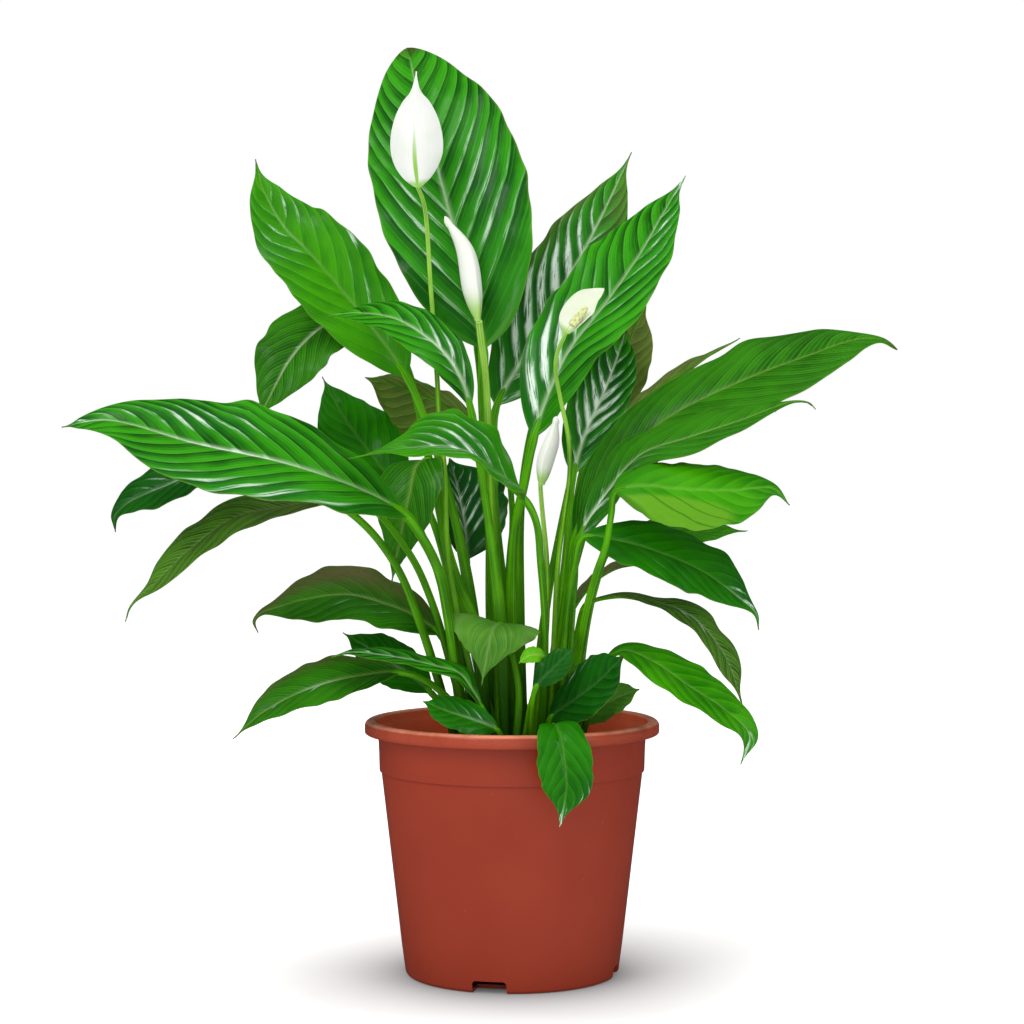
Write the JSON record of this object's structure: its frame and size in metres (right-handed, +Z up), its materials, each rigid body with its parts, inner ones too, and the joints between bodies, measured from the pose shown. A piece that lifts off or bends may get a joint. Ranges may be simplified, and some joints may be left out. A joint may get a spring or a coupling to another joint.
{
  "type": "potted peace lily",
  "caption": "Peace lily in a terracotta-coloured nursery pot: arching glossy green leaves, white hooded flowers on slim stalks, dark potting soil.",
  "frame": {"origin": "the middle of the pot's flat base, where it stands", "axes": "+X to the right seen from the front, along the widest spread of the leaves; +Y to the back, away from the viewer of the picture; +Z up, along the axis of the round pot"},
  "size_m": [0.5154, 0.3065, 0.6064],
  "materials": {
    "pot": "satin moulded terracotta colour",
    "soil": "moist crumbly dark potting mix",
    "leaf": "glossy green with pressed-in side veins",
    "stalk": "smooth yellow-green",
    "spathe": "soft matt white with a faint green midrib",
    "spadix": "pale cream-green, finely knobbed"
  },
  "bodies": {
    "root": {"pot": "pot", "soil": "soil", "leaf_left_big": "leaf", "leaf_left_upper": "leaf", "leaf_left_arching": "leaf", "leaf_left_hanging": "leaf", "leaf_left_dark_tip": "leaf", "leaf_left_drooping": "leaf", "leaf_left_lower": "leaf", "leaf_left_shaded": "leaf", "leaf_left_narrow": "leaf", "leaf_left_lowest": "leaf", "leaf_left_back": "leaf", "leaf_left_olive": "leaf", "leaf_middle_tall": "leaf", "leaf_middle_arched": "leaf", "leaf_middle_silver": "leaf", "leaf_middle_folded": "leaf", "leaf_right_striped": "leaf", "leaf_right_upper": "leaf", "leaf_right_streaked": "leaf", "leaf_right_olive": "leaf", "leaf_right_slender": "leaf", "leaf_right_big": "leaf", "leaf_right_second": "leaf", "leaf_right_bright": "leaf", "leaf_right_glossy": "leaf", "leaf_right_hidden": "leaf", "leaf_right_brown": "leaf", "leaf_right_twisted": "leaf", "leaf_right_low": "leaf", "leaf_right_broad": "leaf", "leaf_right_mottled": "leaf", "leaf_low_over_rim": "leaf", "leaf_low_pale": "leaf", "leaf_low_stub": "leaf", "leaf_low_small": "leaf", "leaf_low_left": "leaf", "leaf_back_tall": "leaf", "leaf_back_right": "leaf", "leaf_back_left_spread": "leaf", "leaf_back_right_spread": "leaf", "flower_stalk_tall": "stalk", "spathe_tall": "spathe", "spadix_tall": "spadix", "flower_stalk_furled": "stalk", "spathe_furled": "spathe", "spadix_furled": "spadix", "flower_stalk_open": "stalk", "spathe_open": "spathe", "spadix_open": "spadix", "flower_stalk_bud": "stalk", "spathe_bud": "spathe", "spadix_bud": "spadix"}
  },
  "joints": []
}
